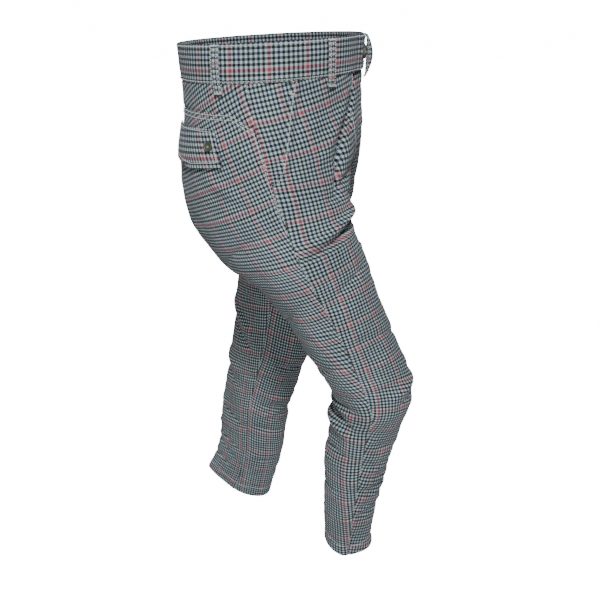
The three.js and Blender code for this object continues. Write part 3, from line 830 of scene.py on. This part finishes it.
def build_front(side):
    def place(j):
        down = mix(BAND_EDGE, hem_of(side), j / LEG_ROWS)
        end = panel_width(side, FRONT, down) + LAP * lap_at(side, down)
        reach = np.linspace(float(mouth_reach(down)), end, LEG_COLUMNS + 1)
        return *panel_face(side, FRONT, reach, down), grain_at(side, FRONT, reach, down)

    name = f"{SIDE_NAME[side]}_front"
    add_cloth(f"{name}_panel", name, LEG_COLUMNS, LEG_ROWS, place)


SEAM_ROWS = 8
LEVEL_FROM = 124


def back_row(side, share, downs, seam, start=(0.0, 0.0)):
    """A row of a back piece, level or with a level of its own for each column."""
    level = np.ptp(downs) < 0.01
    parts = [(share, downs[0])] if level else [(share[k : k + 1], downs[k]) for k in range(len(share))]
    rows = []
    for part, down in parts:
        reach = part * panel_width(side, BACK, down)
        grain = grain_at(side, BACK, reach, down) + np.array(start)
        rows.append((*panel_face(side, BACK, reach, down, 0.0, seam), grain))
    return joined(rows)


def build_back(side):
    share = np.linspace(0, 1, LEG_COLUMNS + 1)
    tops = yoke_seam(share * panel_width(side, BACK, YOKE_DEPTH))

    def place_back(j):
        # Rows follow the yoke seam at the top and become level below it.
        if j <= SEAM_ROWS:
            return back_row(side, share, mix(tops + SEAM_GAP / 2, LEVEL_FROM, j / SEAM_ROWS), j == 0)
        down = mix(LEVEL_FROM, hem_of(side), (j - SEAM_ROWS) / (LEG_ROWS - SEAM_ROWS))
        return back_row(side, share, np.full_like(share, down), False)

    def place_yoke(j):
        downs = mix(BAND_EDGE, tops - SEAM_GAP / 2, j / YOKE_ROWS)
        return back_row(side, share, downs, j in (0, YOKE_ROWS), YOKE_SHIFT)

    back, yoke = f"{SIDE_NAME[side]}_back", f"{SIDE_NAME[side]}_yoke"
    add_cloth(f"{back}_panel", back, LEG_COLUMNS, LEG_ROWS, place_back)
    add_cloth(f"{yoke}_panel", yoke, LEG_COLUMNS, YOKE_ROWS, place_yoke)


FACING_COLUMNS = 14
FACING_ROWS = 40
FACING_SHIFT = (3.8, 0.0)  # checks between the facing's cut and the front's


def build_facing(side):
    def place(j):
        down = mix(BAND_EDGE, MOUTH_FOOT - 4, j / FACING_ROWS)
        mouth = float(mouth_reach(down))
        reach = np.linspace(0, 1, FACING_COLUMNS + 1) * (mouth + FACING_UNDER)
        out = -(CLOTH + 1.4) * smooth(reach / mouth / 0.8) + edge_roll(reach)
        grain = grain_at(side, FRONT, reach, down) + np.array(FACING_SHIFT)
        return *cloth_points(side, FRONT, reach, down, out), grain

    name = f"{SIDE_NAME[side]}_pocket_facing"
    add_cloth(f"{name}_panel", name, FACING_COLUMNS, FACING_ROWS, place)


def flap_row(side, t, columns, extra=0.0):
    """A row of a flap's face, at a share of its depth."""
    rows = []
    for s in np.linspace(0, 1, columns + 1):
        down = FLAP["top"] + t * mix(FLAP["point"], FLAP["side"], abs(2 * s - 1))
        reach = FLAP["reach"] + s * FLAP["width"]
        bulge = 0.9 * math.sin(math.pi * s) * math.sin(math.pi * min(1, t * 1.1))
        edge = min(s * FLAP["width"], (1 - s) * FLAP["width"], (1 - t) * FLAP["side"])
        sunk = 0.5 * math.exp(-((edge - 6) ** 2) / 2)
        out = FOLDED + UNDER_FLAP + FLAP["lift"] * t + bulge + extra - sunk
        grain = ((reach + 0.08 * down) / check_mm() + 1.2, (down - 0.08 * reach) / check_mm() + 3.4)
        rows.append((*cloth_points(side, BACK, [reach], down, [out]), [grain]))
    return joined(rows)


def build_flap(side):
    columns, rows = 40, 18
    name = f"{SIDE_NAME[side]}_back_flap"

    def place(j):
        return flap_row(side, j / rows, columns)

    add_cloth(f"{name}_panel", name, columns, rows, place, FOLDED, 0.9)


BAND_COLUMNS = 300
BAND_ROWS = 12
BAND_RED = (669, 30)  # where red stripes cross on the band: round from the front, and down
RED_MIDDLE = 0.25  # the red stripe's middle in the repeat, in checks


def band_lift(at, girth):
    """The right end of the band lies on the left one."""
    return BAND_LIFT * smooth((at - (girth - BAND_LAP - 12)) / 10)


def band_row(j):
    down = (j / BAND_ROWS) * BAND_HEIGHT
    girth = waist_girth(down)
    at = np.linspace(-BAND_LAP, girth + LAP, BAND_COLUMNS + 1)
    arch = math.sin(math.pi * j / BAND_ROWS)
    wave = 0.5 * np.sin(at / 37.0) * arch + 0.25 * np.sin(at / 11.0 + j)
    points, outward = band_points(at, down, BAND_OUT + 0.55 * arch**0.5 + band_lift(at, girth) + wave * 0.6)
    across = (at * waist_girth(BAND_HEIGHT / 2) / girth - BAND_RED[0]) / check_mm()
    fall = np.full_like(at, (down - BAND_RED[1]) / check_mm())
    return points, outward, np.stack([across, fall], axis=-1) + RED_MIDDLE


def build_waistband():
    add_cloth("waistband_strip", "waistband", BAND_COLUMNS, BAND_ROWS, band_row, FOLDED, 1.1)


LOOP = {"width": 11, "length": 58, "top": 0.5, "thick": 2, "near": 0.7}
LOOP_COLUMNS = 12
LOOP_ROWS = 44
# Each loop's side and face, place across the panel, and how far it stands off and leans.
LOOPS = (
    ("right_front_loop", RIGHT, FRONT, 0.55, 3.2, 0),
    ("left_front_loop", LEFT, FRONT, 0.84, 8.0, 10),
    ("right_side_loop", RIGHT, BACK, 0.17, 3.2, 0),
    ("left_side_loop", LEFT, BACK, 0.17, 3.2, 0),
    ("back_loop", LEFT, BACK, 1.0, 3.6, 0),
)


def loop_points(loop, across, t, extra=0.0):
    """Points across a belt loop, from -0.5 to 0.5 of its width, at a share of its length."""
    _, side, face, at, rise, twist = loop
    down = LOOP["top"] + t * LOOP["length"]
    reach = at * panel_width(side, face, BAND_HEIGHT / 2) + across * LOOP["width"]
    distance = -seam_at(side, down) + face * reach
    outward = directions(side, down, distance)[1]
    stand = LOOP["near"] + rise * math.sin(math.pi * min(1, max(0, t))) ** 0.5
    crown = (0.35 * (1 - (2 * across) ** 2) - twist * across) * math.sin(math.pi * t)
    out = BAND_OUT + LOOP["thick"] + stand + crown + extra
    return along(side, down, distance) + outward * out[:, None], outward


def build_loop(loop, start):
    def place(j):
        t = j / LOOP_ROWS
        across = np.linspace(-0.5, 0.5, LOOP_COLUMNS + 1)
        flat = np.stack([across * LOOP["width"], np.full_like(across, t * LOOP["length"])], axis=-1)
        return *loop_points(loop, across, t), flat / check_mm() + start

    add_cloth(f"{loop[0]}_strap", loop[0], LOOP_COLUMNS, LOOP_ROWS, place, wall=LOOP["thick"], rim=0.8)


def build_button(name, node, base, outward, radius, height):
    """A four-hole sewn button: a rimmed disc turned on its axis, drilled, with thread in its holes."""
    deselect_all()
    bpy.ops.mesh.primitive_circle_add(vertices=48, radius=radius * MM, fill_type="NGON")
    disc = bpy.context.active_object
    disc.name = disc.data.name = name
    bpy.ops.object.mode_set(mode="EDIT")
    bpy.ops.mesh.select_all(action="SELECT")
    bpy.ops.mesh.extrude_region_move(TRANSFORM_OT_translate={"value": (0, 0, height * MM)})
    bpy.ops.mesh.inset(thickness=radius * 0.2 * MM)
    bpy.ops.mesh.inset(thickness=radius * 0.08 * MM, depth=-height * 0.3 * MM)
    face_outwards()
    round_rims(disc, radius * 0.09, 35)
    spread = radius * 0.24
    turns = [math.radians(45 + 90 * k) for k in range(4)]
    holes = [(spread * math.cos(turn), spread * math.sin(turn)) for turn in turns]
    for x, y in holes:
        deselect_all()
        bpy.ops.mesh.primitive_cylinder_add(
            vertices=20, radius=radius * 0.105 * MM, depth=height * 3 * MM,
            location=(x * MM, y * MM, height * 0.5 * MM),
        )
        drill = bpy.context.active_object
        cut = disc.modifiers.new("hole", "BOOLEAN")
        cut.operation = "DIFFERENCE"
        cut.object = drill
        apply_modifiers(disc)
        bpy.data.objects.remove(drill, do_unlink=True)
    aim = Vector((0, 0, 1)).rotation_difference(Vector(outward)).to_matrix()
    disc.data.transform(Matrix.Translation(Vector(base) * MM) @ aim.to_4x4())
    finish_piece(disc, "cast_resin", node)
    # The threads cross from hole to hole.
    ends = [np.array(Vector(base) + aim @ Vector((x, y, height * 0.72))) for x, y in holes]
    lines = [(start, end, np.array(outward)) for start, end in zip(ends, ends[1:] + ends[:1])]
    thread_mesh(f"{name}_thread", lines, 0.55)


def build_buttons():
    for side in (RIGHT, LEFT):
        out = FOLDED + UNDER_FLAP + FLAP["lift"] * 0.6 + SEAM_GAP + 0.55
        down = FLAP["top"] + FLAP["side"] - 22
        points, outward = cloth_points(side, BACK, [FLAP["reach"] + 12], down, [out])
        node = f"{SIDE_NAME[side]}_flap_button"
        build_button(f"{node}_disc", node, points[0], outward[0], 6, 2.4)
    down = BAND_HEIGHT / 2
    out = BAND_OUT + BAND_LIFT + SEAM_GAP + 0.75
    points, outward = cloth_points(RIGHT, FRONT, [panel_width(RIGHT, FRONT, down) - 1], down, [out])
    build_button("waist_button_disc", "waist_button", points[0], outward[0], 8.5, 3)


# Rings along a stitch: share of its length and share of its full width.
STITCH_RING = ((0.0, 0.0), (0.16, 0.8), (0.5, 1.0), (0.84, 0.8), (1.0, 0.0))


THREAD_SIDES = 6


def thread_mesh(name, lines, width=None):
    """One mesh of many stitches; each line is (start, end, outward) in mm."""
    half = (width or sewing_settings().thread_width / MM) / 2
    corners, faces = [], []
    for start, end, outward in lines:
        run = end - start
        across = np.cross(run, outward)
        across = across / (np.linalg.norm(across) or 1)
        rings = []
        for share, swell in STITCH_RING:
            middle = start + run * share + outward * (half * (0.9 * swell - 0.35))
            turns = [2 * math.pi * k / THREAD_SIDES for k in range(THREAD_SIDES if swell else 1)]
            rings.append([len(corners) + k for k in range(len(turns))])
            ways = [across * math.cos(turn) + outward * math.sin(turn) for turn in turns]
            corners += [middle + half * swell * way for way in ways]
        for a, b in zip(rings, rings[1:]):
            for k in range(THREAD_SIDES):
                n = (k + 1) % THREAD_SIDES
                # A stitch ends in a point, where the four corners of a face are three.
                face = (a[k % len(a)], a[n % len(a)], b[n % len(b)], b[k % len(b)])
                faces.append(tuple(dict.fromkeys(face)))
    mesh = bpy.data.meshes.new(name)
    mesh.from_pydata([tuple(c * MM) for c in corners], [], faces)
    mesh.update()
    piece = bpy.data.objects.new(name, mesh)
    bpy.context.scene.collection.objects.link(piece)
    select_only(piece)
    bpy.ops.object.mode_set(mode="EDIT")
    face_outwards()
    finish_piece(piece, "spun_polyester_thread")


def stitches_along(points, outward):
    """Evenly spaced stitches on a polyline of points in mm."""
    s = sewing_settings()
    length = s.stitch_length / MM
    run = np.concatenate([[0], np.cumsum(np.linalg.norm(np.diff(points, axis=0), axis=1))])
    starts = np.arange(0.5, run[-1] - length, s.stitch_pitch / MM)

    def at(distance, values):
        return np.stack([np.interp(distance, run, values[:, k]) for k in range(3)], axis=-1)

    return list(zip(at(starts, points), at(starts + length, points), unit(at(starts, outward))))


def stitch_path(side, face, path, out=0.25):
    """Stitches along a list of (reach, down) on a panel."""
    return stitches_along(*joined([panel_face(side, face, [float(r)], float(d), out) for r, d in path]))


TACK_PITCH = 0.8
TACK_HALF = 0.9


def bar_tack(side, face, reach, down, length, turn):
    """A dense row of short crossing stitches that locks a corner."""
    lines = []
    run = np.array([math.cos(turn), math.sin(turn)])
    half = np.array([-run[1], run[0]]) * TACK_HALF
    for k in range(int(length / TACK_PITCH)):
        middle = np.array([reach, down]) + run * (k * TACK_PITCH - length / 2)
        low, high = [panel_face(side, face, [r], float(d), 0.3) for r, d in (middle - half, middle + half)]
        lines.append((low[0][0], high[0][0], high[1][0]))
    return lines


def panel_stitching(side):
    # The pocket mouth, one row beside its edge.
    downs = np.linspace(BAND_EDGE + 1, MOUTH_FOOT - 4, 60)
    lines = stitch_path(side, FRONT, [(mouth_reach(d) + 5, d) for d in downs])
    # The yoke seam, two rows below it.
    width = panel_width(side, BACK, YOKE_DEPTH)
    reaches = [s * width for s in np.linspace(0.01, 0.985, 70)]
    for below in (3, 8):
        lines += stitch_path(side, BACK, [(r, float(yoke_seam(r)) + below) for r in reaches])
    # The middle back seam, two rows on the right panel.
    downs = np.linspace(YOKE_DEPTH + 6, CROTCH - 30, 60)
    for inset in (3, 8) if side == RIGHT else ():
        lines += stitch_path(side, BACK, [(panel_width(side, BACK, d) - inset, d) for d in downs])
    # The side seam, from the yoke over the hip.
    lines += stitch_path(side, BACK, [(3, d) for d in np.linspace(YOKE_DEPTH + YOKE_DROP + 6, 236, 60)])
    # The hem.
    down = hem_of(side) - HEM_DEPTH
    for face in (FRONT, BACK):
        reaches = np.linspace(1.0, panel_width(side, face, down) - 1.0, 60)
        lines += stitch_path(side, face, [(r, down) for r in reaches], 0.1)
    if side == RIGHT:
        # The fly's curved row.
        downs = np.linspace(BAND_EDGE + 1, FLY_FOOT - 4, 50)
        bend = [34 * (1 - smooth((d - 120) / 52)) + 2 for d in downs]
        path = [(panel_width(side, FRONT, d) - b, d) for d, b in zip(downs, bend)]
        lines += stitch_path(side, FRONT, path, 0.3)
    # A tack near each end of the pocket mouth.
    for down, turn in ((60, 0.2), (140, 0.3)):
        lines += bar_tack(side, FRONT, float(mouth_reach(down)) + 3, down, 7, turn)
    thread_mesh(f"{SIDE_NAME[side]}_panel_stitching", lines)


def flap_stitching(side):
    columns, rows = 60, 30
    table = [flap_row(side, j / rows, columns, 0.3) for j in range(rows + 1)]
    inset_i, inset_j = 3, 4
    edge = [(j, inset_i) for j in range(1, rows - inset_j + 1)]
    edge += [(rows - inset_j, i) for i in range(inset_i + 1, columns - inset_i)]
    edge += [(j, columns - inset_i) for j in range(rows - inset_j, 0, -1)]
    top = [(2, i) for i in range(2, columns - 1)]
    lines = []
    for path in (edge, top):
        lines += stitches_along(*[np.array([table[j][part][i] for j, i in path]) for part in (0, 1)])
    thread_mesh(f"{SIDE_NAME[side]}_flap_stitching", lines)


def band_stitching():
    lines = []
    low, high = 2.6, BAND_HEIGHT - 2.2
    for down, rise in ((high, 0.45), (low, 0.4)):
        girth = waist_girth(down)
        at = np.linspace(-1, girth + LAP - 2, 600)
        lines += stitches_along(*band_points(at, down, BAND_OUT + rise + band_lift(at, girth)))
    # Down the band's end.
    out = np.array([BAND_OUT + 0.55 + BAND_LIFT])
    ends = [band_points(np.array([waist_girth(d) + LAP - 2.2]), d, out) for d in np.linspace(low, high, 16)]
    lines += stitches_along(*joined(ends))
    thread_mesh("waistband_stitching", lines)


def loop_stitching():
    lines = []
    for loop in LOOPS:
        for across in (-0.32, 0.32):
            rows = [loop_points(loop, np.array([across]), t, 0.2) for t in np.linspace(0.01, 0.99, 30)]
            lines += stitches_along(*joined(rows))
        # A tack across each end.
        across = -0.42 + 0.084 * np.arange(11)
        for t in (0.035, 0.965):
            low, out = loop_points(loop, across, t - 0.014, 0.3)
            high, _ = loop_points(loop, across, t + 0.014, 0.3)
            lines += list(zip(low, high, out))
    thread_mesh("belt_loop_stitching", lines)


def buttonhole():
    """Close zigzag round a slit, level on the right end of the waistband."""
    lines = []
    centre = BAND_HEIGHT / 2
    girth = waist_girth(centre)
    out = np.array([BAND_OUT + BAND_LIFT + 0.6])
    for k in range(64):
        turn = 2 * math.pi * k / 64
        ends = []
        for swell in (0.7, 1.35):
            at = girth + 1 + 12.5 * math.cos(turn) * (1 + 0.06 * (swell - 1))
            ends.append(band_points(np.array([at]), centre + 2.0 * math.sin(turn) * swell, out))
        lines.append((ends[0][0][0], ends[1][0][0], ends[1][1][0]))
    thread_mesh("buttonhole_stitching", lines, 0.5)


# The camera's place round the waist's middle, from the wearer's right towards the front, and its aim.
# Metres and degrees.
CAMERA_DISTANCE = 0.93
CAMERA_ROUND = 17
CAMERA_HEIGHT = 0.035
CAMERA_HEADING = 15.368
CAMERA_DIP = 25.25
CAMERA_ROLL = 3


def build_stage():
    s = bpy.context.scene.trouser_stage
    deselect_all()
    bpy.ops.mesh.primitive_plane_add(size=24, location=(0, 0, -s.floor_depth))
    floor = bpy.context.active_object
    floor.name = "studio_floor"
    floor.data.materials.append(material_of("matt_painted_floor"))
    world = bpy.context.scene.world or bpy.data.worlds.new("studio")
    bpy.context.scene.world = world
    world.use_nodes = True
    # Soft light all round, and plain white where the camera sees it.
    seen = add_node(world.node_tree, "LightPath").outputs["Is Camera Ray"]
    glow = add_node(world.node_tree, "Math", operation="MULTIPLY_ADD", i0=seen, i1=GROUND_GLOW, i2=0.19)
    set_inputs(world.node_tree.nodes["Background"], Color=linear("FBFCFD"), Strength=glow)
    for name, place, size, share in (
        ("key_softbox", (-1.5, -0.6, 1.5), 0.4, 1),
        ("fill_softbox", (-1.3, -0.1, -0.55), 0.6, 0.1),
        ("back_softbox", (1.8, 0.6, 1.6), 1.5, 0.3),
    ):
        deselect_all()
        bpy.ops.object.light_add(type="AREA", location=place)
        light = bpy.context.active_object
        light.name = name
        light.data.size = size
        light.data.energy = s.key_power * share
        light.data.color = linear(s.lamp_colour)[:3]
        aim = Vector((0, 0, -0.4)) - Vector(place)
        light.rotation_euler = aim.to_track_quat("-Z", "Y").to_euler()
    bpy.ops.object.camera_add()
    camera = bpy.context.active_object
    camera.name = "photo_camera"
    camera.data.lens = s.focal_length
    camera.data.sensor_width = 36
    camera.data.clip_start = 0.01
    round_waist = math.radians(CAMERA_ROUND)
    aside, ahead = CAMERA_DISTANCE * math.cos(round_waist), CAMERA_DISTANCE * math.sin(round_waist)
    aim = Matrix.Translation((-aside, -ahead, CAMERA_HEIGHT))
    for degrees, axis in ((CAMERA_HEADING - 90, "Z"), (90 - CAMERA_DIP, "X"), (-CAMERA_ROLL, "Z")):
        aim = aim @ Matrix.Rotation(math.radians(degrees), 4, axis)
    camera.matrix_world = aim
    bpy.context.scene.camera = camera


class PieceOperator:
    """What the operators share: each one has a build of its own."""

    def execute(self, context):
        self.build()
        return {"FINISHED"}


class TROUSERS_OT_fronts(PieceOperator, bpy.types.Operator):
    """Add both front panels, the right one with the fly's lap"""

    bl_idname = "trousers.fronts"
    bl_label = "Front panels"

    def build(self):
        build_front(RIGHT)
        build_front(LEFT)


class TROUSERS_OT_backs(PieceOperator, bpy.types.Operator):
    """Add both back panels and their yokes"""

    bl_idname = "trousers.backs"
    bl_label = "Back panels and yokes"

    def build(self):
        build_back(RIGHT)
        build_back(LEFT)


class TROUSERS_OT_pockets(PieceOperator, bpy.types.Operator):
    """Add the front pocket facings and the back pocket flaps"""

    bl_idname = "trousers.pockets"
    bl_label = "Pocket facings and flaps"

    def build(self):
        for side in (RIGHT, LEFT):
            build_facing(side)
            build_flap(side)


class TROUSERS_OT_waistband(PieceOperator, bpy.types.Operator):
    """Add the waistband"""

    bl_idname = "trousers.waistband"
    bl_label = "Waistband"

    def build(self):
        build_waistband()


class TROUSERS_OT_belt_loops(PieceOperator, bpy.types.Operator):
    """Add the five belt loops"""

    bl_idname = "trousers.belt_loops"
    bl_label = "Belt loops"

    def build(self):
        for n, loop in enumerate(LOOPS):
            build_loop(loop, 0.7 + 2.0 * n)


class TROUSERS_OT_buttons(PieceOperator, bpy.types.Operator):
    """Add the waist button and the flap buttons"""

    bl_idname = "trousers.buttons"
    bl_label = "Buttons"

    def build(self):
        build_buttons()


class TROUSERS_OT_stitching(PieceOperator, bpy.types.Operator):
    """Add all topstitching, bar tacks and the buttonhole"""

    bl_idname = "trousers.stitching"
    bl_label = "Stitching"

    def build(self):
        for side in (RIGHT, LEFT):
            panel_stitching(side)
            flap_stitching(side)
        band_stitching()
        loop_stitching()
        buttonhole()


class TROUSERS_OT_stage(PieceOperator, bpy.types.Operator):
    """Add the floor, the lights and the camera"""

    bl_idname = "trousers.stage"
    bl_label = "Stage"

    def build(self):
        build_stage()


OPERATORS = (
    TROUSERS_OT_stage,
    TROUSERS_OT_waistband,
    TROUSERS_OT_fronts,
    TROUSERS_OT_backs,
    TROUSERS_OT_pockets,
    TROUSERS_OT_belt_loops,
    TROUSERS_OT_buttons,
    TROUSERS_OT_stitching,
)


class TROUSERS_PT_sidebar(bpy.types.Panel):
    """Buttons for each piece and the settings"""

    bl_idname = "TROUSERS_PT_sidebar"
    bl_label = "Checked Trousers"
    bl_space_type = "VIEW_3D"
    bl_region_type = "UI"
    bl_category = "Trousers"

    def draw(self, context):
        for settings in (context.scene.checked_cloth, context.scene.sewing, context.scene.trouser_stage):
            box = self.layout.box()
            for name in settings.__annotations__:
                box.prop(settings, name)
        for operator in OPERATORS:
            self.layout.operator(operator.bl_idname)


CLASSES = (CheckedClothSettings, SewingSettings, StageSettings, *OPERATORS, TROUSERS_PT_sidebar)


def register():
    for cls in CLASSES:
        bpy.utils.register_class(cls)
    bpy.types.Scene.checked_cloth = bpy.props.PointerProperty(type=CheckedClothSettings)
    bpy.types.Scene.sewing = bpy.props.PointerProperty(type=SewingSettings)
    bpy.types.Scene.trouser_stage = bpy.props.PointerProperty(type=StageSettings)


def unregister():
    del bpy.types.Scene.trouser_stage
    del bpy.types.Scene.sewing
    del bpy.types.Scene.checked_cloth
    for cls in reversed(CLASSES):
        bpy.utils.unregister_class(cls)


def main():
    register()
    bpy.ops.trousers.stage()
    bpy.ops.trousers.waistband()
    bpy.ops.trousers.fronts()
    bpy.ops.trousers.backs()
    bpy.ops.trousers.pockets()
    bpy.ops.trousers.belt_loops()
    bpy.ops.trousers.buttons()
    bpy.ops.trousers.stitching()


if __name__ == "__main__":
    main()
